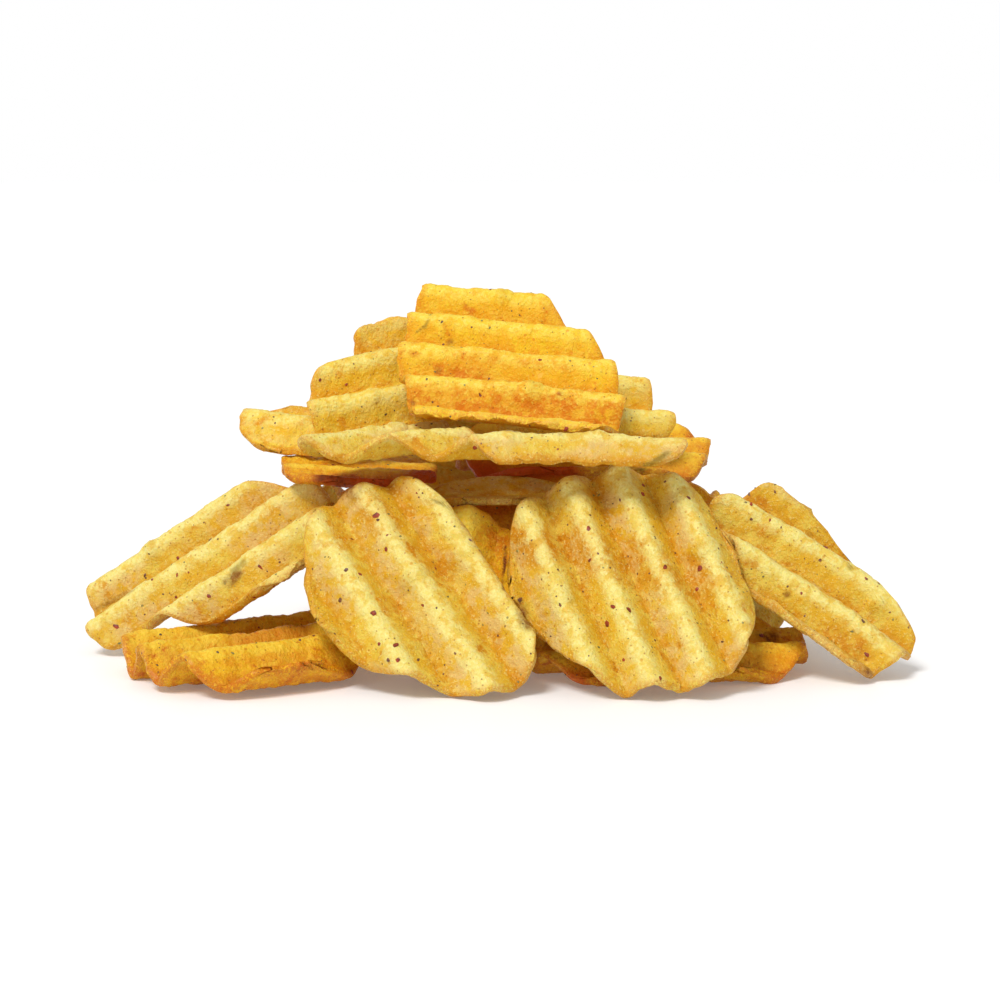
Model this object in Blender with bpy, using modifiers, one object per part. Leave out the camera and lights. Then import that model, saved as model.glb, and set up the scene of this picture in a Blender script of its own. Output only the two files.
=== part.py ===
"""A heap of deep-ridged potato crisps on a bare surface.

Each crisp is one thin wavy slice. It is modelled as an open sheet, which a Solidify modifier turns
into a solid. Each is then set down in turn: it stands on the floor, or slides up against the
crisps that carry it until it all but touches them.
The sizes in the list of crisps are in millimetres and degrees. +Z is up, and the front of the
heap faces -Y.
"""

import math

import bmesh
import bpy
from mathutils import Euler, Vector
from mathutils.bvhtree import BVHTree

MM = 0.001

# What the ridged blade cuts.
RIDGE_PITCH = 10.5
RIDGE_DEPTH = 4.8
SHEET_THICKNESS = 1.6
# How near the ridges are to a triangle wave: 0 would be a sine, and 1 has knife-sharp crests.
CREST_SHARPNESS = 0.9

# A sheet has a pair of grid lines on each crest and each trough, and a few rows across them.
CREST_HALF_WIDTH = 20.0 / 360.0
ROWS_ACROSS = 5
# Grid lines nearer than this to the end of a sheet are left out.
RIM_CLEARANCE = 1.3
# How far the rim strays from the outline in the list.
RAGGED = 0.5
# A slice that nobody sees from the front is a squarish oval, cut short before it runs to a point.
OVAL_POWER = 2.5
OVAL_STATIONS = (-0.96, -0.85, -0.5, 0.0, 0.5, 0.85, 0.96)
# The bends of a sheet are given as the height that they reach this far from its middle.
BEND_SPAN = 25.0

# A sliding piece looks ahead in these steps, and stops this far short of what it meets.
SLIDE_STEP = 0.8
SLIDE_TOLERANCE = 0.02
LONGEST_SLIDE = 40.0
TOUCH_GAP = 0.3

DOWN = Vector((0, 0, -1))
BACK = Vector((0, 1, 0))
FORWARD = Vector((0, -1, 0))

# Base colour and roughness of the three degrees of frying.
TONES = {
    "pale": ((0.86, 0.66, 0.27, 1.0), 0.55),
    "golden": ((0.84, 0.55, 0.15, 1.0), 0.5),
    "toasted": ((0.76, 0.40, 0.08, 1.0), 0.45),
}


def clear_scene():
    for old in list(bpy.data.objects):
        bpy.data.objects.remove(old, do_unlink=True)


def make_tone(name, colour, roughness):
    material = bpy.data.materials.new("crisp_" + name)
    material.use_nodes = True
    finish = material.node_tree.nodes["Principled BSDF"]
    finish.inputs["Base Color"].default_value = colour
    finish.inputs["Roughness"].default_value = roughness
    finish.inputs["Metallic"].default_value = 0.0
    return material


def oval(length, width):
    """Stations of an oval outline: (across the ridges, reach down, reach up), in millimetres."""
    stations = []
    for share in OVAL_STATIONS:
        reach = length / 2 * (1 - abs(share) ** OVAL_POWER) ** (1 / OVAL_POWER)
        stations.append((share * width / 2, -reach, reach))
    return stations


def ridge_wave(turns):
    """Height of the ridges, from -1 to 1, after this many pitches."""
    return math.asin(CREST_SHARPNESS * math.sin(math.tau * turns)) / math.asin(CREST_SHARPNESS)


def ridge_lines(first, last, pitch, phase):
    """Where a sheet's grid lines lie across the ridges, from its first end to its last."""
    lines = [first, last]
    for quarter in (0.25, 0.75):
        for side in (-CREST_HALF_WIDTH, CREST_HALF_WIDTH):
            for ridge in range(-9, 10):
                u = (ridge + quarter + side - phase) * pitch
                if first + RIM_CLEARANCE < u < last - RIM_CLEARANCE:
                    lines.append(u)
    return sorted(lines)


def blend(stations, column, u):
    """The outline's value at u, on a smooth curve through the stations."""
    last = len(stations) - 2
    index = min(max(sum(station[0] <= u for station in stations) - 1, 0), last)
    here, there = stations[index], stations[index + 1]
    before, after = stations[max(index - 1, 0)], stations[min(index + 2, last + 1)]
    gap = there[0] - here[0]
    share = (u - here[0]) / gap
    rise_here = (there[column] - before[column]) / (there[0] - before[0]) * gap
    rise_there = (after[column] - here[column]) / (after[0] - here[0]) * gap
    square, cube = share * share, share * share * share
    value = (2 * cube - 3 * square + 1) * here[column] + (3 * square - 2 * cube) * there[column]
    return value + (cube - 2 * square + share) * rise_here + (cube - square) * rise_there


def rim(u, column, spec):
    """How far the sheet reaches along a ridge at u: column 1 is its low end and 2 its high end."""
    seed = spec["seed"] + 2 * column
    stray = math.sin(0.16 * u + 1.7 * seed) + 0.6 * math.sin(0.37 * u + 2.9 * seed)
    return blend(spec["outline"], column, u) + RAGGED * stray


def sheet_point(u, v, spec):
    """A point of the wavy sheet: u runs across the ridges and v along them."""
    along, across = v / BEND_SPAN, u / BEND_SPAN
    bowed = u + spec["bow"] * along * along
    height = RIDGE_DEPTH / 2 * spec["depth"] * ridge_wave(u / spec["pitch"] + spec["phase"])
    height += spec["curl_along"] * along * along + spec["curl_across"] * across * across
    height += spec["twist"] * along * across
    turn = math.radians(spec["ridges"])
    x = v * math.cos(turn) - bowed * math.sin(turn)
    y = v * math.sin(turn) + bowed * math.cos(turn)
    return Vector((x, y, height)) * MM


def make_crisp(name, spec, tones, collection):
    """The crisp as an object at the origin, lying flat, with its sheet thickened."""
    first, last = spec["outline"][0][0], spec["outline"][-1][0]
    lines = ridge_lines(first, last, spec["pitch"], spec["phase"])
    mesh = bpy.data.meshes.new(name)
    grid = bmesh.new()
    bmesh.ops.create_grid(grid, x_segments=len(lines) - 1, y_segments=ROWS_ACROSS, size=0.5)
    for vertex in grid.verts:
        u = lines[round((vertex.co.x + 0.5) * (len(lines) - 1))]
        share = vertex.co.y + 0.5
        low, high = rim(u, 1, spec), rim(u, 2, spec)
        vertex.co = sheet_point(u, low + (high - low) * share, spec)
    bmesh.ops.recalc_face_normals(grid, faces=grid.faces)
    grid.to_mesh(mesh)
    grid.free()
    mesh.materials.append(tones[spec["tone"]])
    crisp = bpy.data.objects.new(name, mesh)
    collection.objects.link(crisp)
    wall = crisp.modifiers.new("slice", "SOLIDIFY")
    wall.thickness = SHEET_THICKNESS * MM
    wall.offset = 0.0
    wall.use_even_offset = True
    return crisp


def solid_of(crisp):
    """The crisp's points and faces in world space, as the viewport evaluates them."""
    bpy.context.view_layer.update()
    graph = bpy.context.evaluated_depsgraph_get()
    evaluated = crisp.evaluated_get(graph)
    mesh = evaluated.to_mesh()
    points = [crisp.matrix_world @ vertex.co for vertex in mesh.vertices]
    faces = [tuple(polygon.vertices) for polygon in mesh.polygons]
    evaluated.to_mesh_clear()
    return points, faces


def shifted_tree(points, faces, shift):
    return BVHTree.FromPolygons([point + shift for point in points], faces)


def crosses(points, faces, shift, placed):
    if min(point.z for point in points) + shift.z < -1e-6:
        return True
    tree = shifted_tree(points, faces, shift)
    return any(tree.overlap(other) for other in placed)


def touching_shift(points, faces, direction, placed):
    """How far to slide along the direction, forwards or back, to end just short of a neighbour."""
    step = SLIDE_STEP * MM
    steps = int(LONGEST_SLIDE / SLIDE_STEP)
    if crosses(points, faces, Vector(), placed):
        travels = [-step * count for count in range(1, steps)]
        free = next((t for t in travels if not crosses(points, faces, direction * t, placed)), None)
        if free is None:
            raise ValueError("no free place behind the starting point")
        blocked = free + step
    else:
        travels = [step * count for count in range(1, steps)]
        blocked = next((t for t in travels if crosses(points, faces, direction * t, placed)), None)
        if blocked is None:
            raise ValueError("nothing to rest against")
        free = blocked - step
    while blocked - free > SLIDE_TOLERANCE * MM:
        middle = (free + blocked) / 2
        if crosses(points, faces, direction * middle, placed):
            blocked = middle
        else:
            free = middle
    return direction * (free - TOUCH_GAP * MM)


def set_down(crisp, spec, placed):
    """Turns the crisp, moves it to its place and rests it on the floor, its neighbours or both."""
    crisp.rotation_euler = Euler((math.radians(spec["lean"]), 0.0, math.radians(spec["heading"])))
    crisp.location = Vector(spec["at"]) * MM
    points, faces = solid_of(crisp)
    shift = Vector()
    if spec["on_floor"]:
        shift.z = -min(point.z for point in points)
    if spec["slide"] is not None:
        moved = [point + shift for point in points]
        shift = shift + touching_shift(moved, faces, spec["slide"].normalized(), placed)
    crisp.location = crisp.location + shift
    placed.append(shifted_tree(points, faces, shift))


def centre(crisps):
    """Moves the finished heap sideways, so that the middle of its base is at the origin."""
    points = [point for crisp in crisps for point in solid_of(crisp)[0]]
    middle = [(min(p[i] for p in points) + max(p[i] for p in points)) / 2 for i in range(2)]
    for crisp in crisps:
        crisp.location -= Vector((middle[0], middle[1], 0.0))


def crisp_spec(at, lean, heading, ridges, outline, **changes):
    """One crisp's sizes and place.

    at is where the middle of its sheet goes. It leans back by lean from lying flat, and its upper
    face then looks towards heading, where 0 is the front and 90 the right. ridges is the angle of
    its ridges to the horizontal, within the slice. outline lists stations across the ridges, each
    with how far the slice reaches along them, down and up.
    """
    spec = {
        "at": at,
        "lean": lean,
        "heading": heading,
        "ridges": ridges,
        "outline": outline,
        "pitch": RIDGE_PITCH,
        "phase": 0.0,
        "depth": 1.0,
        "curl_along": 0.0,
        "curl_across": 0.0,
        "twist": 0.0,
        "bow": 0.0,
        "seed": 1,
        "tone": "golden",
        "on_floor": False,
        "slide": None,
    }
    spec.update(changes)
    return spec


def heap():
    """The crisps in the order in which they are set down."""
    return {
        # On the floor, with the others leaning over them.
        "floor_left_crisp": crisp_spec(
            (-46, -20.5, 4), 2, -135, 165,
            [(-20, -9, 3), (-17, -14, 10), (-12, -20, 16), (-4, -24, 21), (4, -25, 23),
             (12, -24, 21), (17, -21, 15), (20.5, -13, 8)],
            tone="toasted", seed=2, pitch=12.2, phase=0.08, depth=1.38, on_floor=True,
        ),
        "floor_right_crisp": crisp_spec(
            (32.5, -16, 4), 3, 0, 8, oval(54, 36), tone="toasted", seed=5, phase=0.1,
            on_floor=True,
        ),
        # The two big slices in front.
        "front_left_crisp": crisp_spec(
            (-16, -27, 19), 50, 0, 120,
            [(-13, -23.5, 9), (-10, -27.5, 20), (-4, -29, 21.5), (2, -26.5, 23.5),
             (8, -21.5, 23), (13, -16.5, 20), (17.5, -10, 13), (20.5, -3, 5)],
            tone="pale", seed=8, pitch=11.2, phase=0.25, on_floor=True,
        ),
        "front_right_crisp": crisp_spec(
            (24.5, -28.5, 20), 52, 0, 110,
            [(-22, -5, 3), (-20, -15, 12), (-15.5, -22, 17), (-8, -25, 21.5), (0, -25, 23),
             (5, -23.5, 23), (10, -22, 22.5), (14.5, -15, 20.5), (18, -8.5, 14), (21.5, 0, 5)],
            tone="pale", seed=9, pitch=9.9, phase=-0.1, curl_across=-1.5, on_floor=True,
        ),
        # Inside, two slices stand on edge and carry the cap.
        "middle_front_crisp": crisp_spec(
            (-9, -14, 17), 60, 0, 84, oval(35, 28), seed=3, pitch=12.5, phase=0.3, on_floor=True,
            slide=FORWARD,
        ),
        "middle_back_crisp": crisp_spec(
            (0, 6, 18), 78, 0, 6, oval(44, 32), seed=4, phase=0.4, on_floor=True,
        ),
        # The two wings.
        "left_wing_crisp": crisp_spec(
            (-56, -3, 24), 45, -42, 52,
            [(-20.5, 8, 14), (-17, 3, 15.5), (-12.8, -9, 19), (-8, -16, 22), (-5.5, -21, 24),
             (-3.5, -28.5, 25), (0, -30.5, 25), (5, -30.5, 22), (10, -29.5, 15), (14, -27, 9)],
            tone="pale", seed=6, pitch=10.4, phase=0.1, slide=DOWN,
        ),
        "right_wing_crisp": crisp_spec(
            (62.5, -16, 17), 45, 25, 132,
            [(-14.5, 13, 19.5), (-13, 6, 20.5), (-11.5, 0, 21.5), (-10, -7, 22.3), (-8.5, -11, 23),
             (-5.5, -12.5, 24.5), (-4.5, -16.7, 26), (-2.4, -22.5, 26), (4, -22, 19),
             (9.5, -18.5, 11.5),
             (12, -17.5, 8), (14.5, -15.5, 2)],
            tone="pale", seed=7, pitch=10, phase=0.72, bow=2, on_floor=True,
        ),
        # The ring that leans in from behind.
        "back_left_crisp": crisp_spec(
            (-30, 36, 18), 51, 150, 70, oval(38, 36), tone="pale", seed=21, phase=0.2,
            on_floor=True, slide=Vector((0.4, -1, 0)),
        ),
        "back_right_crisp": crisp_spec(
            (34, 36, 18), 51, 208, 115, oval(38, 36), tone="golden", seed=22, phase=0.5,
            on_floor=True, slide=Vector((-0.4, -1, 0)),
        ),
        "back_middle_crisp": crisp_spec(
            (2, 56, 16), 42, 176, 60, oval(42, 36), tone="golden", seed=23, phase=0.7,
            on_floor=True, slide=FORWARD,
        ),
        "right_prop_crisp": crisp_spec(
            (46, 22, 13), 58, 200, 20, oval(30, 30), tone="pale", seed=26, phase=0.9,
            on_floor=True, slide=Vector((0.4, -1, 0)),
        ),
        "ledge_crisp": crisp_spec(
            (0, -5.5, 38), 14, 0, 2, oval(27, 12), tone="pale", seed=27, pitch=14, phase=0.75,
            slide=DOWN, depth=0.5,
        ),
        # The slices that lie across the lower ring.
        "cap_left_crisp": crisp_spec(
            (-28.5, 6, 42), 3, 90, -90, oval(32, 34), tone="golden", seed=10, depth=0.4,
            slide=DOWN,
        ),
        "cap_right_crisp": crisp_spec(
            (17, 18, 46), 9, 0, 0, oval(52, 40), tone="toasted", seed=11, depth=0.8,
            slide=DOWN,
        ),
        "shelf_crisp": crisp_spec(
            (0, -13, 48), 1, 0, 10,
            [(-14, -3, 28), (-11.5, -6, 32), (-9, -8.5, 33.5), (-5, -14, 28), (-1, -20, -2),
             (4, -28, -6), (11, -38, -9), (14, -38, -11), (17, -34, -14)],
            tone="pale", seed=14, slide=DOWN, curl_along=-0.5, pitch=10.2, phase=0.15, bow=-4,
        ),
        "top_left_crisp": crisp_spec(
            (-40, 14, 46), 22, 0, -12, oval(26, 17), tone="golden", seed=12, slide=DOWN,
            pitch=13, phase=0.3, depth=0.8,
        ),
        "upper_right_crisp": crisp_spec(
            (16, 14, 50.2), 31, 0, -2,
            [(-12, -16, 18.5), (-8, -17, 19), (-6.5, -17, 15), (0, -16, 15.5), (6, -14, 14)],
            tone="golden", seed=13,
        ),
        "upper_left_crisp": crisp_spec(
            (-12, 9.5, 50.2), 38, 0, 15,
            [(-4, -25.5, 8), (-1, -26.5, 9), (4, -26.5, 9), (10, -25, 9), (13, -23, 9),
             (14.5, -15.5, 8), (18, -14.5, 7), (23.5, -12, 4)],
            tone="golden", seed=16,
        ),
        "upper_back_crisp": crisp_spec(
            (2, 58, 36), 70, 182, 8, oval(46, 50), tone="pale", seed=25, slide=FORWARD,
        ),
        "summit_crisp": crisp_spec(
            (3, 1, 60), 31, 0, -9,
            [(-18.5, -17.5, 20.5), (-15, -19, 22), (-9, -21, 23), (-3, -22.5, 21), (4, -24, 19),
             (10, -24, 15.5), (15, -24, 11.5), (22, -24, 5), (26, -23, -2), (28.5, -21, -8)],
            tone="golden", seed=15, slide=DOWN, pitch=10.2,
        ),
    }


def main():
    clear_scene()
    collection = bpy.data.collections.new("heap_of_crisps")
    bpy.context.scene.collection.children.link(collection)
    tones = {name: make_tone(name, *look) for name, look in TONES.items()}
    placed, crisps = [], []
    for name, spec in heap().items():
        crisp = make_crisp(name, spec, tones, collection)
        set_down(crisp, spec, placed)
        crisps.append(crisp)
    centre(crisps)


if __name__ == "__main__":
    main()
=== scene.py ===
# %% [markdown]
# # A heap of ridged potato crisps
#
# Twenty-one thick slices, cut with a wavy blade and fried, lie where they were tipped out. This file
# dresses them. Every slice is rebuilt as a fine mesh of the same form as its plain solid, with
# blisters, a nibbled rim and a browned, dusted surface. Chilli and herb flakes lie on top.
#
# The solids come from a packed model. They give the places, and nothing here moves them.

# %% Load the frame
import math

import bmesh
import bpy
import numpy as np
from mathutils import Euler, Matrix, Vector
from mathutils.bvhtree import BVHTree


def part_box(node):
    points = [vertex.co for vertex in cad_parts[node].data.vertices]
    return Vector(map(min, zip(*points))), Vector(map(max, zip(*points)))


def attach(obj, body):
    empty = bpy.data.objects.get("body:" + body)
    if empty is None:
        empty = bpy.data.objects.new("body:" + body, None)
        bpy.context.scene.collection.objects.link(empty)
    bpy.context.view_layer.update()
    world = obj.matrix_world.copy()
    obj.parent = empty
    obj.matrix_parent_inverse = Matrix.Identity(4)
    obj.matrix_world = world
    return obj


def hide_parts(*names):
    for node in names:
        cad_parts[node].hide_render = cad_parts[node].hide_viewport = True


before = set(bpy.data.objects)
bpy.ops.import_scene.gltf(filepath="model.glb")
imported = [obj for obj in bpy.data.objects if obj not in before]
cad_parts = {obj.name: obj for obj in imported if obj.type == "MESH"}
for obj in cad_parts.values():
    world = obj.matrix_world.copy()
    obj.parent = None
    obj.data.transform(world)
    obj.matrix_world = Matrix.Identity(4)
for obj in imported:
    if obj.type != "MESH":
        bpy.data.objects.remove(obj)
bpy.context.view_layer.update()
MM = 0.001
print("solids:", len(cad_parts))

# %% [markdown]
# ## The camera
#
# The photograph looks at the heap from the front, nearly level with the table, through a fairly
# long lens. All places in the picture that are named further down are pixels of its square frame,
# so the camera comes first: a ray through a pixel then finds the slice that shows there.

# %% Camera
FRAME_PIXELS = 1000
FOCAL_PIXELS = 2500
SENSOR_WIDTH = 36.0
CAMERA_TARGET = Vector((2.1, -3.55, 31.0)) * MM
CAMERA_DISTANCE = 500 * MM
CAMERA_HEIGHT_ANGLE = math.radians(9)

view_line = Vector((0, math.cos(CAMERA_HEIGHT_ANGLE), -math.sin(CAMERA_HEIGHT_ANGLE)))
lens = bpy.data.cameras.new("camera")
lens.lens = SENSOR_WIDTH * FOCAL_PIXELS / FRAME_PIXELS
lens.sensor_width = SENSOR_WIDTH
camera = bpy.data.objects.new("camera", lens)
camera.location = CAMERA_TARGET - view_line * CAMERA_DISTANCE
camera.rotation_euler = view_line.to_track_quat("-Z", "Y").to_euler()
bpy.context.scene.collection.objects.link(camera)
bpy.context.scene.camera = camera
bpy.context.scene.view_settings.view_transform = "Standard"
print("camera at", [round(c / MM) for c in camera.location], "mm")

# %% [markdown]
# ## A way to write node trees as sums
#
# Both the form of a slice and its colour come from node trees. A tree of Math nodes is hard to
# read when it is built one link at a time, so a small class wraps a socket and lets Python's own
# operators add the Math nodes.

# %% A socket that can be summed
class Wire:
    """An output socket that can be used in a sum."""

    def __init__(self, bench, socket):
        self.bench, self.socket = bench, socket

    def math(self, operation, *terms):
        sockets = dict(enumerate((self, *terms)))
        return self.bench.make("ShaderNodeMath", {"operation": operation}, sockets)

    def __add__(self, other):
        return self.math("ADD", other)

    def __sub__(self, other):
        return self.math("SUBTRACT", other)

    def __rsub__(self, other):
        sockets = {0: other, 1: self}
        return self.bench.make("ShaderNodeMath", {"operation": "SUBTRACT"}, sockets)

    def __mul__(self, other):
        return self.math("MULTIPLY", other)

    def __truediv__(self, other):
        return self.math("DIVIDE", other)

    def __neg__(self):
        return self.math("MULTIPLY", -1.0)

    __radd__ = __add__
    __rmul__ = __mul__

    def sine(self):
        return self.math("SINE")

    def cosine(self):
        return self.math("COSINE")

    def arcsine(self):
        return self.math("ARCSINE")

    def between(self, low, high):
        """0 up to low, 1 from high on, and a smooth step between."""
        settings = {"interpolation_type": "SMOOTHSTEP"}
        sockets = {"Value": self, "From Min": low, "From Max": high, "To Min": 0.0, "To Max": 1.0}
        return self.bench.make("ShaderNodeMapRange", settings, sockets)


print("operations written as sums:", len([name for name in vars(Wire) if not name.startswith("__")]))

# %% [markdown]
# ## A bench for one tree
#
# Every other kind of node is made by one method, which sets its settings first and then fills or
# links its sockets. The short methods below it are for the nodes that come back often.

# %% The bench
class Bench:
    """Adds nodes to one tree."""

    def __init__(self, tree):
        self.tree = tree

    def make(self, kind, settings=(), sockets=(), out=0):
        """A new node of this kind. Its settings come first, then its sockets' values or links."""
        node = self.tree.nodes.new(kind)
        for name, value in dict(settings).items():
            setattr(node, name, value)
        for name, value in dict(sockets).items():
            self.plug(self.find(node.inputs, name), value)
        return Wire(self, self.find(node.outputs, out))

    def find(self, sockets, name):
        if isinstance(name, int):
            return sockets[name]
        return next(s for s in sockets if s.name == name and s.enabled)

    def plug(self, socket, value):
        for item in value if isinstance(value, list) else [value]:
            if isinstance(item, Wire):
                self.tree.links.new(item.socket, socket)
            else:
                socket.default_value = item

    def vector(self, x, y, z):
        return self.make("ShaderNodeCombineXYZ", {}, {0: x, 1: y, 2: z})

    def scaled(self, vector, factor):
        sockets = {0: vector, "Scale": factor}
        return self.make("ShaderNodeVectorMath", {"operation": "SCALE"}, sockets)

    def noise(self, vector, scale, detail=2.0, roughness=0.5):
        sockets = {"Vector": vector, "Scale": scale, "Detail": detail, "Roughness": roughness}
        return self.make("ShaderNodeTexNoise", {}, sockets)


# %% [markdown]
# ## Frying a slice
#
# The wavy blade gives a real slice its ridges, and the hot oil curls it, raises blisters on both
# faces and leaves the surface grainy. Geometry Nodes go from a flat grid to the same form. Each
# point is lifted by the ridge wave, and then both faces are pushed out from the bent sheet and
# joined by a strip along the rim. A tree suits this, because all slices are one rule with other
# sizes. Its inputs are those sizes, in millimetres.

# %% Sizes of a slice
SLICE_INPUTS = {
    "Ridge pitch": 10.5,
    "Ridge phase": 0.0,
    "Ridge height": 4.8,
    "Curl along": 0.0,
    "Bow": 0.0,
    "Curl across": 0.0,
    "Thickness": 1.6,
    "Blister height": 0.6,
    "Grain height": 0.30,
    # Which wall of each ridge takes the pinkish tint of painted light, as +1 or -1.
    "Pink side": 1.0,
    "Seed": 1.0,
}
# How near the ridges are to a triangle wave: 0 would be a sine, and 1 has knife-sharp crests.
CREST_SHARPNESS = 0.9
# Curls and bows are the height that they reach this far from the slice's middle.
BEND_SPAN = 25.0
# The share of the thickness that is left at the very rim.
ROUNDED_RIM = 0.55
WELD = 0.004 * MM
# The two faces, and the slices too, read the noise at other depths, so that none are alike.
OTHER_FACE = 90.0
OTHER_SLICE = 37.0
# Noise scales are features per millimetre.
BLISTER_SCALE = 0.17
# Only the cells whose random draw lies above this range carry a blister.
BLISTER_DRAW = (0.62, 0.78)
# Slow swellings, as scale and height.
BROAD_RELIEF = ((0.16, 0.8), (0.4, 0.7))
print("inputs of the tree:", ", ".join(SLICE_INPUTS))

# %% Starting a tree
def start_tree(name, inputs):
    """An empty Geometry Nodes tree with a mesh input and these numbers, and their wires."""
    tree = bpy.data.node_groups.new(name, "GeometryNodeTree")
    panel = tree.interface
    panel.new_socket("Geometry", in_out="INPUT", socket_type="NodeSocketGeometry")
    panel.new_socket("Geometry", in_out="OUTPUT", socket_type="NodeSocketGeometry")
    kinds = {float: "NodeSocketFloat", int: "NodeSocketInt"}
    for label, value in inputs.items():
        kind = kinds.get(type(value), "NodeSocketMaterial")
        socket = panel.new_socket(label, in_out="INPUT", socket_type=kind)
        if value is not None:
            socket.default_value = value
    entry = tree.nodes.new("NodeGroupInput")
    bench = Bench(tree)
    return tree, bench, {s.name: Wire(bench, s) for s in entry.outputs if s.name}


def store(bench, geometry, name, value, kind="FLOAT"):
    settings = {"data_type": kind, "domain": "POINT"}
    sockets = {"Geometry": geometry, "Name": name, "Value": value}
    return bench.make("GeometryNodeStoreNamedAttribute", settings, sockets)


def stored(bench, name, kind="FLOAT"):
    return bench.make("GeometryNodeInputNamedAttribute", {"data_type": kind}, {"Name": name})


# %% [markdown]
# ## What the oil does to a face
#
# Steam lifts the skin in a few places, the whole face swells a little, and the surface stays
# grainy. Cells of a Voronoi pattern give the blisters, noise the rest. The two faces are taken
# from different parts of the pattern, because a blister on one side leaves the other alone.

# %% Relief of one face
def relief(bench, place, size, side):
    """How far the oil has pushed one face out, in millimetres: blisters, dimples and grain."""
    shifted = bench.make("ShaderNodeVectorMath", {"operation": "ADD"}, {0: place, 1: (0, 0, side)})
    cells = {"Vector": shifted, "Scale": BLISTER_SCALE, "Randomness": 1.0}
    reach = bench.make("ShaderNodeTexVoronoi", {}, cells, out="Distance")
    pick = bench.make("ShaderNodeTexVoronoi", {}, cells, out="Color")
    chosen = pick.between(*BLISTER_DRAW)
    blister = (1.0 - reach.between(0.12, 0.5)) * chosen
    broad = sum((bench.noise(shifted, scale) - 0.5) * height for scale, height in BROAD_RELIEF)
    grain = bench.noise(shifted, 0.95, 3.0, 0.6) - 0.5
    return blister * size["Blister height"] + broad + grain * (size["Grain height"] * 2), blister


# %% [markdown]
# ## From a flat grid to a wavy slice
#
# The ridges are a wave across the slice, with crests nearly as sharp as the blade's. It wanders
# and is worn in places, or the slices would look stamped. The height on the ridge and the side of
# the ridge are stored for the finish, and the direction of the face for the thickness.

# %% Ridges and bends
def wavy_sheet(bench, size):
    """The flat grid with its ridges, curls and bow."""
    parts = [bench.make("ShaderNodeSeparateXYZ", {}, {0: bench.make("GeometryNodeInputPosition")}, out=i)
             for i in range(2)]
    across, along = parts[0] / MM, parts[1] / MM
    place = bench.vector(across, along, size["Seed"] * OTHER_SLICE)

    wander = (bench.noise(place, 0.06) - 0.5) * 0.14 + (bench.noise(place, 0.25) - 0.5) * 0.06
    turns = across / size["Ridge pitch"] + size["Ridge phase"] + wander
    swing = (turns * math.tau).sine() * CREST_SHARPNESS
    crest = swing.arcsine() / math.asin(CREST_SHARPNESS)
    slope = (turns * math.tau).cosine() * size["Pink side"]
    worn = 0.9 + (bench.noise(place, 0.09) - 0.5) * 0.7
    lift = crest * size["Ridge height"] * 0.5 * worn
    far_along, far_across = along / BEND_SPAN, across / BEND_SPAN
    lift = lift + size["Curl along"] * far_along * far_along
    lift = lift + size["Curl across"] * far_across * far_across
    bowed = across + size["Bow"] * far_along * far_along
    bent = bench.vector(along * MM, bowed * MM, lift * MM)

    sheet = store(bench, size["Geometry"], "crest", crest)
    sheet = store(bench, sheet, "slope", slope)
    sheet = store(bench, sheet, "place", place, "FLOAT_VECTOR")
    sheet = bench.make("GeometryNodeSetPosition", {}, {"Geometry": sheet, "Position": bent})
    return store(bench, sheet, "facing", bench.make("GeometryNodeInputNormal"), "FLOAT_VECTOR")


# %% [markdown]
# ## Thickness and rim
#
# The sheet becomes two faces, pushed apart by half the thickness and by the relief. A strip along
# the rim closes them. Near the rim the slice gets thinner, as a cut and fried edge does.

# %% The frying tree
def two_faces(bench, size, sheet):
    """Both faces of the slice and the strip between them, as one closed mesh."""
    place = stored(bench, "place", "FLOAT_VECTOR")
    facing = stored(bench, "facing", "FLOAT_VECTOR")
    rounding = ROUNDED_RIM + (1 - ROUNDED_RIM) * stored(bench, "inset").between(-0.1, 0.7)
    half = size["Thickness"] * 0.5 * rounding
    upper, upper_blister = relief(bench, place, size, 0.0)
    lower, lower_blister = relief(bench, place, size, OTHER_FACE)
    calm = stored(bench, "inset").between(0.0, 1.5)
    rise, drop = half + upper * calm, half + lower * calm

    top = bench.make("GeometryNodeSetPosition", {},
                     {"Geometry": store(bench, sheet, "blister", upper_blister),
                      "Offset": bench.scaled(facing, rise * MM)})
    under = bench.make("GeometryNodeSetPosition", {},
                       {"Geometry": store(bench, sheet, "blister", lower_blister),
                        "Offset": bench.scaled(facing, drop * -MM)})
    under = bench.make("GeometryNodeFlipFaces", {}, {"Mesh": under})
    beside = bench.make("GeometryNodeInputMeshEdgeNeighbors")
    is_rim = bench.make("FunctionNodeCompare", {"data_type": "INT", "operation": "EQUAL"},
                        {"A": beside, "B": 1})
    walled = bench.make("GeometryNodeExtrudeMesh", {"mode": "EDGES"},
                        {"Mesh": top, "Selection": is_rim,
                         "Offset": bench.scaled(facing, (rise + drop) * -MM), "Offset Scale": 1.0})
    both = bench.make("GeometryNodeJoinGeometry", {}, {0: [walled, under]})
    return bench.make("GeometryNodeMergeByDistance", {}, {"Geometry": both, "Distance": WELD})


def frying_tree():
    tree, bench, size = start_tree("fry_slice", {**SLICE_INPUTS, "Finish": None})
    both = two_faces(bench, size, wavy_sheet(bench, size))
    both = bench.make("GeometryNodeRealizeInstances", {}, {"Geometry": both})
    both = bench.make("GeometryNodeSetMaterial", {}, {"Geometry": both, "Material": size["Finish"]})
    tree.links.new(both.socket, tree.nodes.new("NodeGroupOutput").inputs[0])
    return tree


slice_tree = frying_tree()
print("frying tree:", len(slice_tree.nodes), "nodes")

# %% [markdown]
# ## The slices and how they were cut
#
# These are the same slices as the solids: what each one's outline is, how its ridges run, and
# which way it leans. Only its place is missing, because the packed solid gives that. An outline
# lists stations across the ridges, and how far the slice reaches along them at each, down and up.

# %% Outlines and cuts
OVAL_POWER = 2.5
OVAL_STATIONS = (-0.96, -0.85, -0.5, 0.0, 0.5, 0.85, 0.96)


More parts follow.
